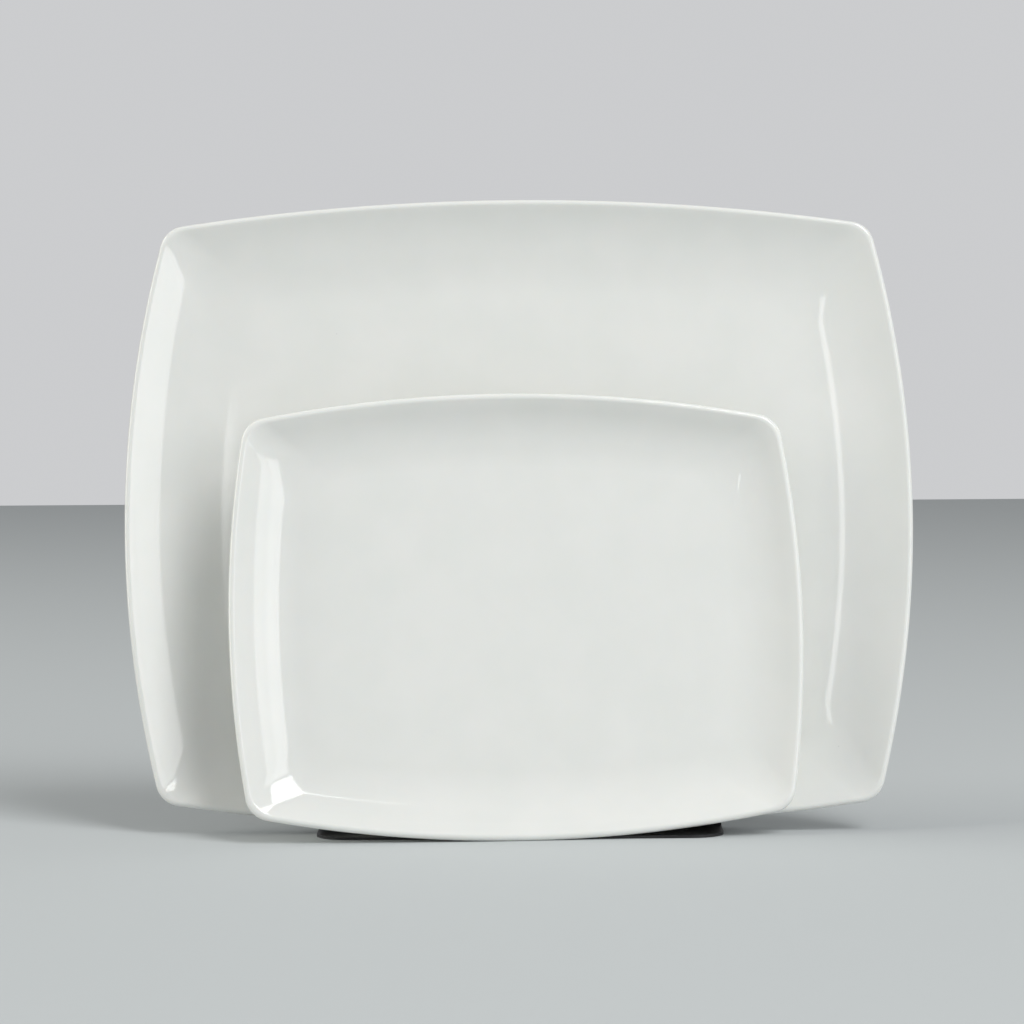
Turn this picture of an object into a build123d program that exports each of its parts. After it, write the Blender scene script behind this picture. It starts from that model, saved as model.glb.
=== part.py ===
from build123d import *
import math
import os

# Two matching china platters, one large and one small, shown upright on a folding sheet-steel easel.
# Millimetres. +X is to the viewer's right, +Y is away from the viewer, +Z is up.
# The origin is on the table, at the centre of the whole set's footprint.

# ---------------------------------------------------------------- driving sizes
# platters: overall width and height, how far the sides bow out, the width of the wall, the radius of the cove
# that the wall follows up from the well, and the slope in degrees that the cove ends at
LARGE = dict(width=360.0, height=290.0, side_bow=17.5, long_bow=12.5, wall=45.0, well_corner=26.0,
             cove=88.0, slope=28.0)
SMALL = dict(width=259.0, height=203.5, side_bow=8.0, long_bow=12.3, wall=33.0, well_corner=20.0,
             cove=46.0, slope=36.0)
RIM_RADIUS = 1.8            # half the thickness of the rounded rim
BODY_THICKNESS = 5.0        # china under the well
RIM_CORNER = 12.0           # corner radius of the rim, seen from the front
FOOT_HEIGHT = 2.0           # the foot ring stands this far below the underside
FOOT_WIDTH = 6.0
FOOT_SET_IN = 0.5           # from the edge of the flat underside in to the foot ring
FOOT_ROUND = 0.8
COVE_STEPS = 8              # sections up the cove

# how the platters stand
LARGE_LEAN = 10.0           # degrees back from upright
SMALL_LEAN = 13.2
SMALL_TURN = 5.2            # degrees, its right side goes back
LARGE_STANDS_AT = 20.0      # from the easel's front edge back to the rim's lowest point
SMALL_STANDS_AT = -5.0
SMALL_OFF_CENTRE = 1.5      # to the right

# easel
SHEET = 1.2                 # steel sheet
EASEL_WIDTH = 183.0
EASEL_CORNER = 15.0
PANEL_LEAN = 9.6
PANEL_LENGTH = 185.0        # from the bend to the top edge
PANEL_TOP_WIDTH = 104.0
PANEL_SHOULDER = 26.0       # height at which the panel starts to narrow
PANEL_TOP_CORNER = 24.0
PANEL_GAP = 0.4             # between the large platter's foot ring and the panel
STAND_GAP = 0.25            # between the large platter's rim and what it stands on
BEND_RADIUS = 2.0
STOP_WIDTH = 18.0
STOP_HEIGHT = 5.0           # above the sheet
STOP_SPACING = 70.0
STOP_CORNER = 2.0
STOP_BACK_AT = 17.2         # the stops' back faces, from the front edge
STRIP_THICKNESS = 0.4       # rubber strip under the large platter's rim
STRIP_LENGTH = 150.0
STRIP_WIDTH = 6.0
STRIP_CORNER = 2.0
STRIP_BEHIND_STOPS = 0.4
PAD_DIAMETER = 14.0
PAD_SPACING = 64.0
PAD_BELOW_TOP = 14.0
PAD_GAP = 0.3

# folding prop leg and its hinge
HINGE_BELOW_TOP = 44.0      # hinge axis, measured down the panel from its top edge
PIN_RADIUS = 1.2
PIN_CLEARANCE = 0.05
KNUCKLE_RADIUS = 2.5
KNUCKLE_LENGTH = 26.0       # the leg's knuckle, between the leaf's two
LEAF_KNUCKLE = 12.0
KNUCKLE_GAP = 0.4
LEAF_THICKNESS = 1.0
LEAF_HEIGHT = 20.0
LEAF_CORNER = 3.0
KNUCKLE_WEB = 1.0           # the leaf's webs reach this far above the pin
PIN_HEAD_RADIUS = 2.0
PIN_HEAD = 1.0
PIN_HEAD_CHAMFER = 0.4
RIVET_RADIUS = 1.6
RIVET_HEAD = 3.0
RIVET_DOME = 1.2
RIVET_SPACING = 17.0
RIVET_ABOVE_PIN = 14.0
LEG_SPREAD = 12.0           # degrees from upright when open
LEG_FOOT_WIDTH = 64.0
LEG_FLANGE = 6.0
LEG_HEEL = 6.0              # the leg reaches this far past the pin and stops against the leaf
LEG_TAPER_FROM = 8.0        # below the pin, where the leg starts to widen
FLANGE_FROM = 22.0
SHOE_HEIGHT = 10.0
SHOE_WALL = 1.6
SHOE_CORNER = 1.5
SHOE_SPARE = 4.0            # added to the shoe's block before the table level cuts it

FAR = 400.0                 # longer than the whole set, for cutting tools


# ---------------------------------------------------------------- platters
def circle_meeting(c1, r1, c2, r2):
    """The upper right point where two circles cross."""
    dx, dy = c2[0] - c1[0], c2[1] - c1[1]
    gap = math.hypot(dx, dy)
    along = (r1 * r1 - r2 * r2 + gap * gap) / (2 * gap)
    off = math.sqrt(r1 * r1 - along * along)
    mid = (c1[0] + along * dx / gap, c1[1] + along * dy / gap)
    ends = [(mid[0] + k * off * dy / gap, mid[1] - k * off * dx / gap) for k in (1, -1)]
    return max(ends, key=lambda p: p[0] + p[1])


def platter_outline(size, inset, level):
    """The bowed rectangle of four long arcs and four corner arcs, set in from the rim's outer edge."""
    half_w, half_h = size["width"] / 2, size["height"] / 2
    side_bow, long_bow = size["side_bow"], size["long_bow"]
    side_radius = ((half_h - long_bow) ** 2 + side_bow ** 2) / (2 * side_bow)
    long_radius = ((half_w - side_bow) ** 2 + long_bow ** 2) / (2 * long_bow)
    corner = RIM_CORNER + (size["well_corner"] - RIM_CORNER) * max(inset, 0.0) / size["wall"]
    side_centre = (half_w - side_radius, 0.0)
    long_centre = (0.0, half_h - long_radius)
    cx, cy = circle_meeting(side_centre, side_radius - inset - corner,
                            long_centre, long_radius - inset - corner)

    def along(centre, radius, point):
        """From the centre towards the point, at the radius."""
        dx, dy = point[0] - centre[0], point[1] - centre[1]
        length = math.hypot(dx, dy)
        return (centre[0] + radius * dx / length, centre[1] + radius * dy / length)

    on_side = along(side_centre, side_radius - inset, (cx, cy))
    on_top = along(long_centre, long_radius - inset, (cx, cy))
    toward_corner = (on_side[0] + on_top[0] - 2 * cx, on_side[1] + on_top[1] - 2 * cy)
    on_corner = along((cx, cy), corner, (cx + toward_corner[0], cy + toward_corner[1]))
    right, top = (half_w - inset, 0.0), (0.0, half_h - inset)

    def at(point, sx, sy):
        return (point[0] * sx, point[1] * sy, level)

    edges = [ThreePointArc(at(on_side, 1, -1), at(right, 1, 1), at(on_side, 1, 1)),
             ThreePointArc(at(on_side, 1, 1), at(on_corner, 1, 1), at(on_top, 1, 1)),
             ThreePointArc(at(on_top, 1, 1), at(top, 1, 1), at(on_top, -1, 1)),
             ThreePointArc(at(on_top, -1, 1), at(on_corner, -1, 1), at(on_side, -1, 1)),
             ThreePointArc(at(on_side, -1, 1), at(right, -1, 1), at(on_side, -1, -1)),
             ThreePointArc(at(on_side, -1, -1), at(on_corner, -1, -1), at(on_top, -1, -1)),
             ThreePointArc(at(on_top, -1, -1), at(top, 1, -1), at(on_top, 1, -1)),
             ThreePointArc(at(on_top, 1, -1), at(on_corner, 1, -1), at(on_side, 1, -1))]
    return Wire(edges)


def foot_inset(size):
    """From the rim's outer edge in to the foot ring's outer face."""
    return size["wall"] + FOOT_SET_IN


def wall_middle(size):
    """(inset, level, slope) up the middle of the wall's thickness, from the well to the rim."""
    end = math.radians(size["slope"])
    points = []
    for i in range(COVE_STEPS + 1):
        angle = end * i / COVE_STEPS
        level = FOOT_HEIGHT + BODY_THICKNESS / 2 + size["cove"] * (1 - math.cos(angle))
        points.append((size["wall"] - size["cove"] * math.sin(angle), level, angle))
    inset, level, end = points[-1]
    return points + [(RIM_RADIUS, level + (inset - RIM_RADIUS) * math.tan(end), end)]


def platter_depth(size):
    return wall_middle(size)[-1][1] + RIM_RADIUS


def platter_section(size):
    """(inset, level) pairs from the underside, up the outer wall, round the rim and down to the well."""
    middle = wall_middle(size)
    run = size["wall"] - RIM_RADIUS

    def offset(point, side):
        inset, level, slope = point
        half = RIM_RADIUS + (BODY_THICKNESS / 2 - RIM_RADIUS) * (inset - RIM_RADIUS) / run
        return (inset + side * half * math.sin(slope), level + side * half * math.cos(slope))

    outer = [offset(point, -1) for point in middle]
    inner = [offset(point, 1) for point in reversed(middle)]
    end = middle[-1][2]
    outermost, topmost = math.pi, math.pi / 2
    rim_start, rim_end = 1.5 * math.pi - end, math.pi / 2 - end
    rim_angles = [(rim_start + outermost) / 2, outermost, outermost - math.pi / 6, topmost + math.pi / 6,
                  topmost, (topmost + rim_end) / 2]
    rim = [(RIM_RADIUS * (1 + math.cos(angle)), middle[-1][1] + RIM_RADIUS * math.sin(angle))
           for angle in rim_angles]
    return outer + rim + inner


def flat_platter(size):
    """One fired piece of china, lying face up, its foot at level 0."""
    sections = [platter_outline(size, inset, level) for inset, level in platter_section(size)]
    body = Solid.make_loft(sections, ruled=True)
    inset = foot_inset(size)
    ring = Face(platter_outline(size, inset, 0), [platter_outline(size, inset + FOOT_WIDTH, 0)])
    foot = extrude(ring, FOOT_HEIGHT + BODY_THICKNESS / 2, dir=(0, 0, 1))
    foot = chamfer(foot.faces().sort_by(Axis.Z)[0].edges(), FOOT_ROUND)
    return body + foot


def stand_up(shape, size, lean, turn, place):
    """Lean the platter back, turn it, and stand its rim's lowest point on the given place."""
    tilt = math.radians(lean)
    rim_v = RIM_RADIUS - size["height"] / 2
    rim_n = platter_depth(size) - RIM_RADIUS
    rim_y = rim_v * math.sin(tilt) - rim_n * math.cos(tilt)
    rim_z = rim_v * math.cos(tilt) + rim_n * math.sin(tilt)
    upright = Pos(0, -rim_y, RIM_RADIUS - rim_z) * (Rot(90 - lean, 0, 0) * shape)
    return Pos(*place) * (Rot(0, 0, turn) * upright)


def large_stands_on():
    return SHEET + STRIP_THICKNESS + STAND_GAP


def make_large_platter():
    place = (0, LARGE_STANDS_AT, large_stands_on())
    return stand_up(flat_platter(LARGE), LARGE, LARGE_LEAN, 0.0, place)


def make_small_platter():
    place = (SMALL_OFF_CENTRE, SMALL_STANDS_AT, 0)
    return stand_up(flat_platter(SMALL), SMALL, SMALL_LEAN, SMALL_TURN, place)


# ---------------------------------------------------------------- easel
def panel_foot():
    """Where the panel's front face meets the top of the base, as (y, z)."""
    tilt = math.radians(LARGE_LEAN)
    foot_v = foot_inset(LARGE) - RIM_RADIUS
    foot_n = -(platter_depth(LARGE) - RIM_RADIUS)
    touch_y = LARGE_STANDS_AT + foot_v * math.sin(tilt) - foot_n * math.cos(tilt)
    touch_z = large_stands_on() + RIM_RADIUS + foot_v * math.cos(tilt) + foot_n * math.sin(tilt)
    return (touch_y + PANEL_GAP - (touch_z - SHEET) * math.tan(math.radians(PANEL_LEAN)), SHEET)


def on_panel(up, back):
    """A point (y, z) measured up the panel from its foot and back from its front face."""
    tilt = math.radians(PANEL_LEAN)
    y, z = panel_foot()
    return (y + up * math.sin(tilt) + back * math.cos(tilt), z + up * math.cos(tilt) - back * math.sin(tilt))


def side_prism(points, half_width):
    """Extrude a (y, z) outline both ways along X."""
    face = make_face(Polyline(*[(0, y, z) for y, z in points], close=True))
    return extrude(face, half_width, dir=(1, 0, 0), both=True)


def panel_plane(up, back, x=0.0):
    """A plane on the panel: x is across, y is up the panel, z is forwards, out of the front face."""
    y, z = on_panel(up, back)
    tilt = math.radians(PANEL_LEAN)
    return Plane(origin=(x, y, z), x_dir=(1, 0, 0), z_dir=(0, -math.cos(tilt), math.sin(tilt)))


def make_easel_plate():
    back_low = on_panel(0, SHEET)
    bottom_y = back_low[0] - back_low[1] * math.tan(math.radians(PANEL_LEAN))
    corners = [(0, 0), (bottom_y, 0), on_panel(PANEL_LENGTH, SHEET), on_panel(PANEL_LENGTH, 0),
               panel_foot(), (0, SHEET)]
    sheet = side_prism(corners, EASEL_WIDTH / 2)
    inner = sheet.edges().filter_by(Axis.X).sort_by_distance((0, *panel_foot()))[0]
    sheet = fillet(inner, BEND_RADIUS)
    outer = sheet.edges().filter_by(Axis.X).sort_by_distance((0, bottom_y, 0))[0]
    sheet = fillet(outer, BEND_RADIUS + SHEET)
    half = EASEL_WIDTH / 2
    top_z = on_panel(PANEL_LENGTH, 0)[1]
    half_top = PANEL_TOP_WIDTH / 2
    low = -SHEET
    front = Polyline((-half, 0, low), (half, 0, low), (half, 0, PANEL_SHOULDER), (half_top, 0, top_z),
                     (-half_top, 0, top_z), (-half, 0, PANEL_SHOULDER), close=True)
    front_prism = extrude(make_face(front), FAR / 2, dir=(0, 1, 0), both=True)
    front_prism = fillet(front_prism.edges().filter_by(Axis.Y).group_by(Axis.Z)[-1], PANEL_TOP_CORNER)
    shoulders = front_prism.edges().filter_by(Axis.Y).sort_by(Axis.Z)[2:4]
    front_prism = fillet(shoulders, PANEL_TOP_CORNER)
    plan = Pos(0, FAR / 2, 0) * Box(EASEL_WIDTH, FAR, FAR)
    plan = fillet(plan.edges().filter_by(Axis.Z).group_by(Axis.Y)[0], EASEL_CORNER)
    sheet = sheet & front_prism & plan
    for side in (-1, 1):
        x = side * STOP_SPACING / 2
        slot_y = STOP_BACK_AT - SHEET - STOP_HEIGHT / 2
        sheet -= Pos(x, slot_y, SHEET / 2) * Box(STOP_WIDTH, STOP_HEIGHT, 3 * SHEET)
        stop_height = SHEET + STOP_HEIGHT
        stop = Pos(x, STOP_BACK_AT - SHEET / 2, stop_height / 2) * Box(STOP_WIDTH, SHEET, stop_height)
        sheet += fillet(stop.edges().filter_by(Axis.Y).group_by(Axis.Z)[-1], STOP_CORNER)
    for x in rivet_places():
        sheet -= panel_plane(rivet_height(), -1, x) * Cylinder(RIVET_RADIUS, 6 * SHEET)
    return sheet


def make_rim_strip():
    y = STOP_BACK_AT + STRIP_BEHIND_STOPS + STRIP_WIDTH / 2
    strip = Pos(0, y, SHEET + STRIP_THICKNESS / 2) * Box(STRIP_LENGTH, STRIP_WIDTH, STRIP_THICKNESS)
    return fillet(strip.edges().filter_by(Axis.Z), STRIP_CORNER)


def make_back_pads():
    """Two round rubber pads near the panel's top, that the platter's underside leans on."""
    tilt = math.radians(LARGE_LEAN)
    up = PANEL_LENGTH - PAD_BELOW_TOP
    face_y, face_z = on_panel(up, 0)
    foot_v = foot_inset(LARGE) - RIM_RADIUS
    under_n = FOOT_HEIGHT + RIM_RADIUS - platter_depth(LARGE)
    touch_y = LARGE_STANDS_AT + foot_v * math.sin(tilt) - under_n * math.cos(tilt)
    touch_z = large_stands_on() + RIM_RADIUS + foot_v * math.cos(tilt) + under_n * math.sin(tilt)
    under_y = touch_y + (face_z - touch_z) * math.tan(tilt)
    thickness = (face_y - under_y) * math.cos(math.radians(PANEL_LEAN)) - PAD_GAP
    print("back pad thickness", round(thickness, 3))
    pads = []
    for side in (-1, 1):
        pad = panel_plane(up, 0, side * PAD_SPACING / 2) * Pos(0, 0, thickness / 2) * \
            Cylinder(PAD_DIAMETER / 2, thickness)
        pads.append(pad)
    return Compound(children=pads)


# ---------------------------------------------------------------- hinge and prop leg
def hinge_height():
    return PANEL_LENGTH - HINGE_BELOW_TOP


def hinge_back():
    return SHEET + LEAF_THICKNESS + KNUCKLE_GAP + KNUCKLE_RADIUS


def hinge_axis():
    return on_panel(hinge_height(), hinge_back())


def rivet_height():
    return hinge_height() + RIVET_ABOVE_PIN


def rivet_places():
    return [k * RIVET_SPACING for k in (-1, 0, 1)]


def hinge_plane():
    """On the hinge axis: x along it, y up the panel, z forwards."""
    return panel_plane(hinge_height(), hinge_back())


def leg_plane():
    """On the hinge axis: x along it, y up the open leg, z forwards."""
    y, z = hinge_axis()
    spread = math.radians(LEG_SPREAD)
    return Plane(origin=(0, y, z), x_dir=(1, 0, 0), z_dir=(0, -math.cos(spread), -math.sin(spread)))


def along_x(radius, length, x=0.0):
    return Pos(x, 0, 0) * (Rot(0, 90, 0) * Cylinder(radius, length))


def leaf_half_width():
    return KNUCKLE_LENGTH / 2 + KNUCKLE_GAP + LEAF_KNUCKLE


def make_hinge_leaf():
    face_z = hinge_back() - SHEET
    low = -KNUCKLE_RADIUS
    plate = Pos(0, low + LEAF_HEIGHT / 2, face_z - LEAF_THICKNESS / 2) * \
        Box(2 * leaf_half_width(), LEAF_HEIGHT, LEAF_THICKNESS)
    leaf = fillet(plate.edges().filter_by(Axis.Z).group_by(Axis.Y)[-1], LEAF_CORNER)
    web_height = KNUCKLE_RADIUS + KNUCKLE_WEB
    for side in (-1, 1):
        x = side * (leaf_half_width() - LEAF_KNUCKLE / 2)
        leaf += along_x(KNUCKLE_RADIUS, LEAF_KNUCKLE, x)
        leaf += Pos(x, low + web_height / 2, face_z / 2) * Box(LEAF_KNUCKLE, web_height, face_z)
    leaf -= along_x(PIN_RADIUS, 3 * leaf_half_width())
    for x in rivet_places():
        leaf -= Pos(x, RIVET_ABOVE_PIN, face_z) * Cylinder(RIVET_RADIUS, 4 * LEAF_THICKNESS)
    return hinge_plane() * leaf


def make_hinge_rivets():
    """Three rivets, flush with the panel's front face and domed on the leaf."""
    front_z = hinge_back()
    head_z = hinge_back() - SHEET - LEAF_THICKNESS
    ball = (RIVET_HEAD ** 2 + RIVET_DOME ** 2) / (2 * RIVET_DOME)
    rivets = []
    for x in rivet_places():
        shank = Pos(0, 0, (front_z + head_z) / 2) * Cylinder(RIVET_RADIUS, front_z - head_z)
        dome = Pos(0, 0, head_z - RIVET_DOME + ball) * Sphere(ball)
        dome &= Pos(0, 0, head_z - RIVET_DOME / 2) * Cylinder(RIVET_HEAD, RIVET_DOME)
        rivets.append(hinge_plane() * Pos(x, RIVET_ABOVE_PIN, 0) * (shank + dome))
    return Compound(children=rivets)


def make_hinge_pin():
    length = 2 * leaf_half_width()
    pin = along_x(PIN_RADIUS, length)
    for side in (-1, 1):
        head = along_x(PIN_HEAD_RADIUS, PIN_HEAD, side * (length + PIN_HEAD) / 2)
        circles = head.edges().filter_by(GeomType.CIRCLE).sort_by(Axis.X)
        pin += chamfer(circles[0 if side < 0 else -1], PIN_HEAD_CHAMFER)
    return hinge_plane() * pin


def leg_length():
    """From the hinge axis down the open leg to the table."""
    return hinge_axis()[1] / math.cos(math.radians(LEG_SPREAD))


def leg_half_width(y):
    """The leg widens evenly from the knuckle to its foot."""
    top, bottom = -LEG_TAPER_FROM, -leg_length()
    share = min(max((top - y) / (top - bottom), 0.0), 1.0)
    return KNUCKLE_LENGTH / 2 + (LEG_FOOT_WIDTH - KNUCKLE_LENGTH) / 2 * share


def leg_slab(y_values, inset, z_low, z_high):
    """A slab with the leg's outline between the given heights, its sides set in."""
    right = [(leg_half_width(y) - inset, y, z_low) for y in y_values]
    left = [(-x, y, z) for x, y, z in reversed(right)]
    return extrude(make_face(Polyline(*(right + left), close=True)), z_high - z_low, dir=(0, 0, 1))


def below_level(level):
    """Everything under a level, for cutting the leg's end parallel to the table."""
    return Pos(0, 0, level - FAR / 2) * Box(FAR, 2 * FAR, FAR)


def make_prop_leg():
    length = leg_length()
    foot_y = -length - SHEET
    leg = leg_slab([LEG_HEEL, -LEG_TAPER_FROM, foot_y], 0.0, -SHEET / 2, SHEET / 2)
    flange_span = [-FLANGE_FROM, SHOE_HEIGHT + LEG_FLANGE - length]
    leg += leg_slab(flange_span, 0.0, -LEG_FLANGE, 0.0) - leg_slab(flange_span, SHEET, -LEG_FLANGE, 0.0)
    leg += along_x(KNUCKLE_RADIUS, KNUCKLE_LENGTH)
    leg -= along_x(PIN_RADIUS + PIN_CLEARANCE, 2 * KNUCKLE_LENGTH)
    return leg_plane() * leg - below_level(SHOE_WALL)


def make_leg_shoe():
    """Rubber shoe pushed over the leg's end, flat on the table."""
    length = leg_length()
    shoe = Pos(0, (SHOE_HEIGHT - SHOE_SPARE) / 2 - length, 0) * \
        Box(LEG_FOOT_WIDTH + 2 * SHOE_WALL, SHOE_HEIGHT + SHOE_SPARE, SHEET + 2 * SHOE_WALL)
    shoe = fillet(shoe.edges().filter_by(Axis.Y) + shoe.edges().group_by(Axis.Y)[-1], SHOE_CORNER)
    shoe = leg_plane() * shoe - below_level(0)
    return shoe - make_prop_leg()


# ---------------------------------------------------------------- the set
def make_set():
    return {
        "large_platter": make_large_platter(),
        "small_platter": make_small_platter(),
        "easel_plate": make_easel_plate(),
        "rim_strip": make_rim_strip(),
        "back_pads": make_back_pads(),
        "hinge_leaf": make_hinge_leaf(),
        "hinge_rivets": make_hinge_rivets(),
        "hinge_pin": make_hinge_pin(),
        "prop_leg": make_prop_leg(),
        "leg_shoe": make_leg_shoe(),
    }


def footprint_centre(pieces):
    """The middle, front to back, of everything's box."""
    boxes = [piece.bounding_box() for piece in pieces.values()]
    return (min(box.min.Y for box in boxes) + max(box.max.Y for box in boxes)) / 2


def main():
    pieces = make_set()
    centre_y = footprint_centre(pieces)
    os.makedirs("parts", exist_ok=True)
    for name, piece in pieces.items():
        export_step(Pos(0, -centre_y, 0) * piece, f"parts/{name}.step")
    print("centre moved by", round(-centre_y, 3))
    print("hinge axis y, z", [round(v, 3) for v in (hinge_axis()[0] - centre_y, hinge_axis()[1])])


main()
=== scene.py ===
import math

import bpy
from mathutils import Matrix, Vector


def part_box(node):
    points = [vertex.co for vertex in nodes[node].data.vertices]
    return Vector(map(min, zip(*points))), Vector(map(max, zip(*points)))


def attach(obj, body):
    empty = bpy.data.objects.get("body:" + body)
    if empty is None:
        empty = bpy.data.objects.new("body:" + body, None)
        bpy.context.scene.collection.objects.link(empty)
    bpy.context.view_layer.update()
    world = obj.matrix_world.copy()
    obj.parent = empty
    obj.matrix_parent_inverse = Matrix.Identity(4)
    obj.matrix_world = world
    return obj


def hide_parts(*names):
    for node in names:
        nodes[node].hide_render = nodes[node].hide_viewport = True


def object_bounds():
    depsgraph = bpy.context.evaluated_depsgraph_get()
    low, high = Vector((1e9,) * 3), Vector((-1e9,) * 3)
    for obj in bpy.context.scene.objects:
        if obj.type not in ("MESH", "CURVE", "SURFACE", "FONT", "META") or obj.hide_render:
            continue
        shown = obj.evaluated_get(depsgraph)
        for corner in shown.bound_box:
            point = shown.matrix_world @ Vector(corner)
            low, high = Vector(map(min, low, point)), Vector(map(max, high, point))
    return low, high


# Two glazed china platters, a large and a small one, leaning on a black folding steel easel.
# Metres, in the frame of the CAD model: +X to the viewer's right, +Y away, +Z up, the table at z = 0.

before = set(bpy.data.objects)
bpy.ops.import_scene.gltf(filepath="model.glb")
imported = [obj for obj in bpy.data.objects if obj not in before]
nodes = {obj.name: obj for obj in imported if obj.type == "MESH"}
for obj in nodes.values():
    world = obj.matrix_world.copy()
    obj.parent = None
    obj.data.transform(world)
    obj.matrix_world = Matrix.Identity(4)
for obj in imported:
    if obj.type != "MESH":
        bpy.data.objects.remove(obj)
cad_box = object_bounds()

MM = 0.001

# ------------------------------------------------------- sizes of the platters, as in the CAD model
# cove and slope: the radius that the wall follows up from the well, and the angle that it ends at
LARGE = dict(width=360.0, height=290.0, side_bow=17.5, long_bow=12.5,
             wall=45.0, well_corner=26.0, cove=88.0, slope=28.0)
SMALL = dict(width=259.0, height=203.5, side_bow=8.0, long_bow=12.3,
             wall=33.0, well_corner=20.0, cove=46.0, slope=36.0)
RIM_RADIUS = 1.8
BODY_THICKNESS = 5.0
RIM_CORNER = 12.0
FOOT_HEIGHT = 2.0
FOOT_WIDTH = 6.0
FOOT_SET_IN = 0.5
FOOT_ROUND = 0.8

LARGE_LEAN, SMALL_LEAN, SMALL_TURN = 10.0, 13.2, 5.2      # degrees
LARGE_STANDS_AT, SMALL_STANDS_AT = 20.0, -5.0             # back from the easel's front edge
LARGE_STANDS_ON = 1.85
SMALL_OFF_CENTRE = 1.5

# how finely the meshes follow the curves
COVE_STEPS, RIM_STEPS, FOOT_STEPS = 32, 16, 5
SIDE_STEPS, CORNER_STEPS, LONG_STEPS = 40, 20, 56
FLAT_RINGS = 14
RING_CROWDING = 1.2         # above 1, the rings of a flat lie closer together near its edge


# ------------------------------------------------------- platter shape
def circle_meeting(c1, r1, c2, r2):
    """The upper right point where two circles cross."""
    apart = c2 - c1
    along = (r1 * r1 - r2 * r2 + apart.length_squared) / (2 * apart.length)
    off = math.sqrt(r1 * r1 - along * along)
    unit = apart.normalized()
    ends = [c1 + unit * along + Vector((unit.y, -unit.x)) * off * k for k in (1, -1)]
    return max(ends, key=lambda p: p.x + p.y)


def arc(centre, radius, start, end, steps):
    """Points along an arc, without its last one."""
    turns = [start + (end - start) * i / steps for i in range(steps)]
    return [centre + Vector((math.cos(a), math.sin(a))) * radius for a in turns]


def outline(size, inset):
    """The bowed rectangle, set in from the rim's outer edge, as a closed loop of points."""
    half_w, half_h = size["width"] / 2, size["height"] / 2
    side_bow, long_bow = size["side_bow"], size["long_bow"]
    side_radius = ((half_h - long_bow) ** 2 + side_bow ** 2) / (2 * side_bow)
    long_radius = ((half_w - side_bow) ** 2 + long_bow ** 2) / (2 * long_bow)
    corner = RIM_CORNER + (size["well_corner"] - RIM_CORNER) * max(inset, 0.0) / size["wall"]
    side_centre = Vector((half_w - side_radius, 0.0))
    long_centre = Vector((0.0, half_h - long_radius))
    centre = circle_meeting(side_centre, side_radius - inset - corner,
                            long_centre, long_radius - inset - corner)
    side_end = math.atan2(centre.y - side_centre.y, centre.x - side_centre.x)
    long_start = math.atan2(centre.y - long_centre.y, centre.x - long_centre.x)
    quarter = arc(side_centre, side_radius - inset, 0.0, side_end, SIDE_STEPS)
    quarter += arc(centre, corner, side_end, long_start, CORNER_STEPS)
    quarter += arc(long_centre, long_radius - inset, long_start, math.pi / 2, LONG_STEPS)
    quarter.append(Vector((0.0, half_h - inset)))
    upper = quarter + [Vector((-p.x, p.y)) for p in reversed(quarter[:-1])]
    return upper + [Vector((p.x, -p.y)) for p in reversed(upper[1:-1])]


def wall_middle(size):
    """(inset, level, slope) up the middle of the wall's thickness, from the well to the rim."""
    end = math.radians(size["slope"])
    points = []
    for i in range(COVE_STEPS + 1):
        angle = end * i / COVE_STEPS
        level = FOOT_HEIGHT + BODY_THICKNESS / 2 + size["cove"] * (1 - math.cos(angle))
        points.append((size["wall"] - size["cove"] * math.sin(angle), level, angle))
    inset, level, end = points[-1]
    rim_level = level + (inset - RIM_RADIUS) * math.tan(end)
    return points + [(RIM_RADIUS, rim_level, end)]


def wall_section(size):
    """(inset, level) pairs up the outer wall, round the rim and down the inner wall to the well."""
    middle = wall_middle(size)
    run = size["wall"] - RIM_RADIUS

    def offset(point, side):
        """From the middle of the china out to its surface, on the inner side for 1 and the outer for -1."""
        inset, level, slope = point
        half = RIM_RADIUS + (BODY_THICKNESS / 2 - RIM_RADIUS) * (inset - RIM_RADIUS) / run
        return (inset + side * half * math.sin(slope), level + side * half * math.cos(slope))

    rim_level, end = middle[-1][1:]
    rim = []
    for i in range(1, RIM_STEPS):
        angle = 1.5 * math.pi - end - math.pi * i / RIM_STEPS
        rim.append((RIM_RADIUS * (1 + math.cos(angle)), rim_level + RIM_RADIUS * math.sin(angle)))
    return [offset(p, -1) for p in middle] + rim + [offset(p, 1) for p in reversed(middle)]


def foot_section(size):
    """(inset, level) pairs over the foot ring, from its inner side to its outer side."""
    outside = size["wall"] + FOOT_SET_IN
    inside = outside + FOOT_WIDTH

    def rounded(inset, start):
        turns = [start - math.pi / 2 * i / FOOT_STEPS for i in range(FOOT_STEPS + 1)]
        return [(inset + FOOT_ROUND * math.cos(a), FOOT_ROUND * (1 + math.sin(a))) for a in turns]

    inner = rounded(inside - FOOT_ROUND, 0.0)
    outer = rounded(outside + FOOT_ROUND, -math.pi / 2)
    return [(inside, FOOT_HEIGHT)] + inner + outer + [(outside, FOOT_HEIGHT)]


def closing_rings(loop, level):
    """The flat inside a loop, as rings drawn in to its middle."""
    shares = [1 - (i / FLAT_RINGS) ** RING_CROWDING for i in range(1, FLAT_RINGS)]
    return [[(p.x * share, p.y * share, level) for p in loop] for share in shares]


def platter_rings(size):
    """Every ring of points from the middle of the underside, round the rim, to the middle of the well.

    Also how many of them lie on the flat underside, and how many on the foot ring."""
    foot = foot_section(size)
    wall = wall_section(size)
    under = closing_rings(outline(size, foot[0][0]), FOOT_HEIGHT)
    rings = list(reversed(under))
    rings += [[(p.x, p.y, level) for p in outline(size, inset)] for inset, level in foot + wall]
    well_level = wall[-1][1]
    return rings + closing_rings(outline(size, wall[-1][0]), well_level), len(under), len(foot)


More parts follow.
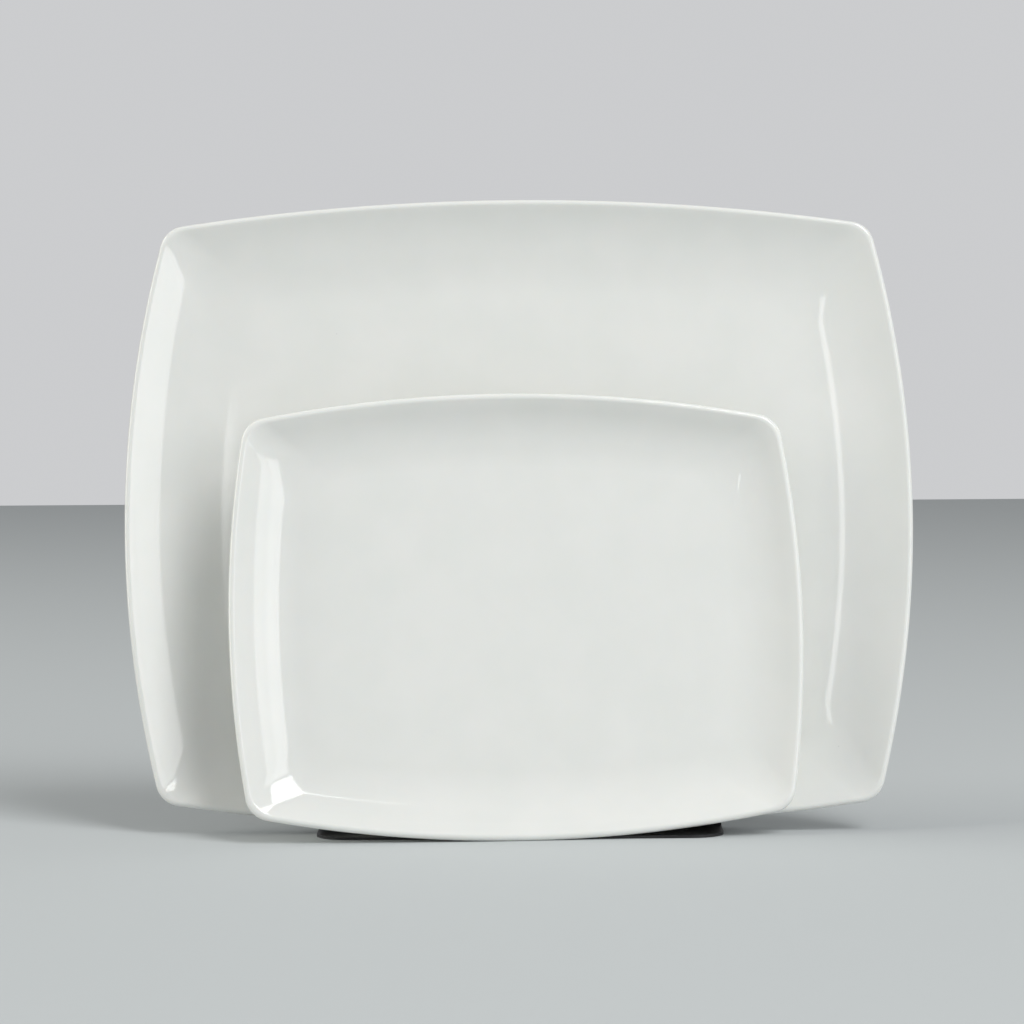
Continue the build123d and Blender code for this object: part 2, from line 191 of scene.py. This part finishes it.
def platter_place(size, lean, turn, place):
    """From the platter lying face up, in millimetres, to where it stands."""
    tilt = math.radians(lean)
    rim_along = RIM_RADIUS - size["height"] / 2
    rim_level = wall_middle(size)[-1][1]
    rim_y = rim_along * math.sin(tilt) - rim_level * math.cos(tilt)
    rim_z = rim_along * math.cos(tilt) + rim_level * math.sin(tilt)
    leaning = Matrix.Rotation(math.pi / 2 - tilt, 4, "X")
    upright = Matrix.Translation((0, -rim_y, RIM_RADIUS - rim_z)) @ leaning
    turned = Matrix.Translation(place) @ Matrix.Rotation(math.radians(turn), 4, "Z") @ upright
    return Matrix.Scale(MM, 4) @ turned


def platter_mesh(name, size, materials):
    """One platter lying face up, glazed all over but for the foot ring's standing edge."""
    rings, under_count, foot_count = platter_rings(size)
    around = len(rings[0])
    well_level = rings[-1][0][2]
    points = [(0.0, 0.0, FOOT_HEIGHT)]
    points += [point for ring in rings for point in ring]
    points.append((0.0, 0.0, well_level))
    last = len(points) - 1
    faces = []
    bare = []
    for i in range(around):
        j = (i + 1) % around
        faces.append((0, 1 + j, 1 + i))
        faces.append((last, last - around + i, last - around + j))
    standing_edge = range(under_count + FOOT_STEPS - 1, under_count + foot_count - FOOT_STEPS)
    for r in range(len(rings) - 1):
        for i in range(around):
            j = (i + 1) % around
            low, high = 1 + r * around, 1 + (r + 1) * around
            if r in standing_edge:
                bare.append(len(faces))
            faces.append((low + i, low + j, high + j, high + i))
    mesh = bpy.data.meshes.new(name)
    mesh.from_pydata(points, [], faces)
    for material in materials:
        mesh.materials.append(material)
    for index in bare:
        mesh.polygons[index].material_index = 1
    mesh.shade_smooth()
    return mesh


def make_platter(name, size, lean, turn, place, body, node, materials):
    mesh = platter_mesh(name, size, materials)
    mesh.transform(platter_place(size, lean, turn, place))
    mesh.validate()
    platter = bpy.data.objects.new(name, mesh)
    bpy.context.scene.collection.objects.link(platter)
    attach(platter, body)
    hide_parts(node)


# ------------------------------------------------------- nodes that the materials are made of
def new_material(name):
    """A material, its node tree and its shader."""
    material = bpy.data.materials.new(name)
    material.use_nodes = True
    tree = material.node_tree
    return material, tree, tree.nodes["Principled BSDF"]


def object_coordinates(tree):
    return tree.nodes.new("ShaderNodeTexCoord").outputs["Object"]


def noise(tree, vector, scale, detail=2.0):
    texture = tree.nodes.new("ShaderNodeTexNoise")
    texture.inputs["Scale"].default_value = scale
    texture.inputs["Detail"].default_value = detail
    tree.links.new(vector, texture.inputs["Vector"])
    return texture.outputs["Fac"]


def cells(tree, vector, scale):
    """The distance from the nearest of many scattered points."""
    texture = tree.nodes.new("ShaderNodeTexVoronoi")
    texture.inputs["Scale"].default_value = scale
    tree.links.new(vector, texture.inputs["Vector"])
    return texture.outputs["Distance"]


def spread(tree, value, low, high, start=0.0, end=1.0):
    """Map a value from start..end to low..high."""
    mapping = tree.nodes.new("ShaderNodeMapRange")
    mapping.inputs["From Min"].default_value = start
    mapping.inputs["From Max"].default_value = end
    mapping.inputs["To Min"].default_value = low
    mapping.inputs["To Max"].default_value = high
    tree.links.new(value, mapping.inputs["Value"])
    return mapping.outputs["Result"]


def product(tree, first, second):
    multiply = tree.nodes.new("ShaderNodeMath")
    multiply.operation = "MULTIPLY"
    tree.links.new(first, multiply.inputs[0])
    tree.links.new(second, multiply.inputs[1])
    return multiply.outputs["Value"]


def blend(tree, value, first, second):
    """From the first colour, or another node's output, at 0 to the second colour at 1."""
    mix = tree.nodes.new("ShaderNodeMix")
    mix.data_type = "RGBA"
    if isinstance(first, bpy.types.NodeSocket):
        tree.links.new(first, mix.inputs["A"])
    else:
        mix.inputs["A"].default_value = (*first, 1.0)
    mix.inputs["B"].default_value = (*second, 1.0)
    tree.links.new(value, mix.inputs["Factor"])
    return mix.outputs["Result"]


def bump(tree, height, distance, below=None):
    """A relief of the given depth in metres, on top of another one if there is one below."""
    node = tree.nodes.new("ShaderNodeBump")
    node.inputs["Distance"].default_value = distance
    tree.links.new(height, node.inputs["Height"])
    if below is not None:
        tree.links.new(below, node.inputs["Normal"])
    return node.outputs["Normal"]


# ------------------------------------------------------- materials
def make_glaze():
    """Clear gloss glaze on white china: faint mottling, a few pinprick specks, a slightly wavy skin."""
    material, tree, shader = new_material("glazed_china")
    vector = object_coordinates(tree)
    mottling = noise(tree, vector, scale=38.0, detail=4.0)
    tint = blend(tree, spread(tree, mottling, 0.0, 1.0, start=0.35, end=0.65),
                 (0.795, 0.808, 0.778), (0.818, 0.826, 0.797))
    pinpricks = spread(tree, cells(tree, vector, scale=52.0), 1.0, 0.0, start=0.010, end=0.022)
    patches = spread(tree, noise(tree, vector, scale=9.0), 0.0, 0.5, start=0.52, end=0.62)
    specked = blend(tree, product(tree, pinpricks, patches), tint, (0.30, 0.29, 0.27))
    tree.links.new(specked, shader.inputs["Base Color"])
    tree.links.new(spread(tree, mottling, 0.055, 0.085), shader.inputs["Roughness"])
    shader.inputs["IOR"].default_value = 1.52
    shader.inputs["Subsurface Weight"].default_value = 0.12
    shader.inputs["Subsurface Radius"].default_value = (1.0, 0.8, 0.6)
    shader.inputs["Subsurface Scale"].default_value = 0.004
    slow_waves = bump(tree, noise(tree, vector, scale=26.0, detail=1.0), 0.1 * MM)
    fine_waves = bump(tree, noise(tree, vector, scale=210.0, detail=1.0), 0.004 * MM, slow_waves)
    tree.links.new(fine_waves, shader.inputs["Normal"])
    return material


def make_bare_foot():
    """The unglazed ring that the platter stands on in the kiln: dry, faintly sandy and a little darker."""
    material, tree, shader = new_material("unglazed_china")
    grain = noise(tree, object_coordinates(tree), scale=900.0, detail=3.0)
    tint = blend(tree, spread(tree, grain, 0.0, 1.0, start=0.3, end=0.7),
                 (0.58, 0.56, 0.51), (0.70, 0.68, 0.63))
    tree.links.new(tint, shader.inputs["Base Color"])
    tree.links.new(spread(tree, grain, 0.75, 0.92), shader.inputs["Roughness"])
    tree.links.new(bump(tree, grain, 0.05 * MM), shader.inputs["Normal"])
    return material


def make_black_steel():
    """Sheet steel with a satin black powder coat."""
    material, tree, shader = new_material("black_powder_coat")
    vector = object_coordinates(tree)
    orange_peel = noise(tree, vector, scale=700.0)
    wear = noise(tree, vector, scale=60.0, detail=4.0)
    tint = blend(tree, wear, (0.010, 0.010, 0.011), (0.021, 0.021, 0.023))
    tree.links.new(tint, shader.inputs["Base Color"])
    tree.links.new(spread(tree, wear, 0.34, 0.50), shader.inputs["Roughness"])
    tree.links.new(bump(tree, orange_peel, 0.06 * MM), shader.inputs["Normal"])
    return material


def make_pin_steel():
    """Drawn steel wire, with fine lines along its length."""
    material, tree, shader = new_material("drawn_steel")
    stretch = tree.nodes.new("ShaderNodeMapping")
    stretch.inputs["Scale"].default_value = (40.0, 2500.0, 2500.0)
    tree.links.new(object_coordinates(tree), stretch.inputs["Vector"])
    lines = noise(tree, stretch.outputs["Vector"], scale=1.0)
    tint = blend(tree, lines, (0.42, 0.42, 0.43), (0.58, 0.58, 0.59))
    tree.links.new(tint, shader.inputs["Base Color"])
    tree.links.new(spread(tree, lines, 0.24, 0.38), shader.inputs["Roughness"])
    shader.inputs["Metallic"].default_value = 1.0
    tree.links.new(bump(tree, lines, 0.01 * MM), shader.inputs["Normal"])
    return material


def make_rubber():
    """Moulded black rubber, matt, with a bloom of lighter patches."""
    material, tree, shader = new_material("moulded_rubber")
    vector = object_coordinates(tree)
    bloom = noise(tree, vector, scale=120.0, detail=3.0)
    tint = blend(tree, bloom, (0.014, 0.014, 0.014), (0.032, 0.031, 0.030))
    tree.links.new(tint, shader.inputs["Base Color"])
    tree.links.new(spread(tree, bloom, 0.68, 0.85), shader.inputs["Roughness"])
    pores = bump(tree, noise(tree, vector, scale=1500.0), 0.04 * MM)
    tree.links.new(pores, shader.inputs["Normal"])
    return material


def paint(material, names):
    for name in names:
        mesh = nodes[name].data
        mesh.materials.clear()
        mesh.materials.append(material)


# ------------------------------------------------------- floor, lights and camera
FLOOR_REACH = 4.0
SOFTBOX_DISTANCE = 4.0
SET_MIDDLE = Vector((0.0, 0.0, 0.14))       # what the lights face

CAMERA_LENS = 123.0
CAMERA_PLACE = (0.0099, -1.5932, 0.2080)
CAMERA_PAN, CAMERA_DIP, CAMERA_ROLL = 0.46, 2.29, -0.40     # degrees


def make_floor():
    """A plain pale floor under everything."""
    material, tree, shader = new_material("pale_floor")
    shader.inputs["Base Color"].default_value = (0.55, 0.58, 0.585, 1.0)
    shader.inputs["Roughness"].default_value = 0.85
    shader.inputs["Specular IOR Level"].default_value = 0.15
    level = cad_box[0][2]
    corners = [(-1, -1), (1, -1), (1, 1), (-1, 1)]
    mesh = bpy.data.meshes.new("floor")
    mesh.from_pydata([(FLOOR_REACH * x, FLOOR_REACH * y, level) for x, y in corners], [], [(0, 1, 2, 3)])
    mesh.materials.append(material)
    floor = bpy.data.objects.new("floor", mesh)
    bpy.context.scene.collection.objects.link(floor)


def make_room(colour, light, backdrop):
    """An even room: one strength for the light it sheds, another for the plain backdrop that is seen."""
    world = bpy.data.worlds.new("room")
    world.use_nodes = True
    tree = world.node_tree
    background = tree.nodes["Background"]
    background.inputs["Color"].default_value = (*colour, 1.0)
    path = tree.nodes.new("ShaderNodeLightPath")
    strength = spread(tree, path.outputs["Is Camera Ray"], light, backdrop)
    tree.links.new(strength, background.inputs["Strength"])
    bpy.context.scene.world = world


def softbox(name, azimuth, elevation, brightness, colour=(1.0, 1.0, 1.0)):
    """A rectangular light facing the set, given by the angles in degrees that it spans as seen from there.

    Azimuth 0 is the viewer's side, and 90 the viewer's right. The brightness is of its face."""
    turn = math.radians(sum(azimuth) / 2)
    climb = math.radians(sum(elevation) / 2)
    half_turn = math.radians((azimuth[1] - azimuth[0]) / 2)
    half_climb = math.radians((elevation[1] - elevation[0]) / 2)
    away = Vector((math.sin(turn) * math.cos(climb), -math.cos(turn) * math.cos(climb), math.sin(climb)))
    light = bpy.data.lights.new(name, "AREA")
    light.shape = "RECTANGLE"
    light.size = 2 * SOFTBOX_DISTANCE * math.tan(half_turn) * math.cos(climb)
    light.size_y = 2 * SOFTBOX_DISTANCE * math.tan(half_climb)
    light.energy = brightness * math.pi * light.size * light.size_y
    light.color = colour
    lamp = bpy.data.objects.new(name, light)
    lamp.location = SET_MIDDLE + away * SOFTBOX_DISTANCE
    lamp.rotation_euler = away.to_track_quat("Z", "Y").to_euler()
    lamp.visible_camera = False
    bpy.context.scene.collection.objects.link(lamp)


def make_camera():
    """A long lens a metre and a half in front, a little above the set and a touch off level."""
    data = bpy.data.cameras.new("camera")
    data.lens = CAMERA_LENS
    data.sensor_width = 36.0
    data.clip_end = 50.0
    camera = bpy.data.objects.new("camera", data)
    camera.location = CAMERA_PLACE
    pan = Matrix.Rotation(math.radians(CAMERA_PAN), 4, "Z")
    dip = Matrix.Rotation(math.radians(90 - CAMERA_DIP), 4, "X")
    roll = Matrix.Rotation(math.radians(CAMERA_ROLL), 4, "Z")
    camera.rotation_euler = (pan @ dip @ roll).to_euler()
    bpy.context.scene.collection.objects.link(camera)
    bpy.context.scene.camera = camera


# ------------------------------------------------------- the set
china = [make_glaze(), make_bare_foot()]
easel_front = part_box("easel_plate")[0].y / MM
large_place = (0.0, easel_front + LARGE_STANDS_AT, LARGE_STANDS_ON)
small_place = (SMALL_OFF_CENTRE, easel_front + SMALL_STANDS_AT, 0.0)
make_platter("large_platter_china", LARGE, lean=LARGE_LEAN, turn=0.0, place=large_place,
             body="large_platter", node="large_platter", materials=china)
make_platter("small_platter_china", SMALL, lean=SMALL_LEAN, turn=SMALL_TURN, place=small_place,
             body="small_platter", node="small_platter", materials=china)
paint(make_black_steel(), ["easel_plate", "hinge_leaf", "prop_leg"])
paint(make_pin_steel(), ["hinge_pin", "hinge_rivets"])
paint(make_rubber(), ["rim_strip", "back_pads", "leg_shoe"])

make_floor()
make_room((0.97, 0.98, 1.0), light=0.36, backdrop=0.62)
softbox("key", (24.0, 58.0), (36.0, 64.0), 7.2)
softbox("right_strip", (31.0, 47.0), (2.0, 34.0), 2.9)
softbox("right_side", (47.0, 64.0), (2.0, 34.0), 2.0)
softbox("left_side", (-105.0, -66.0), (2.0, 46.0), 3.2, (1.0, 0.98, 0.92))
softbox("left_slit", (-11.0, -7.8), (13.5, 20.2), 3.4)
make_camera()
bpy.context.scene.view_settings.view_transform = "Standard"
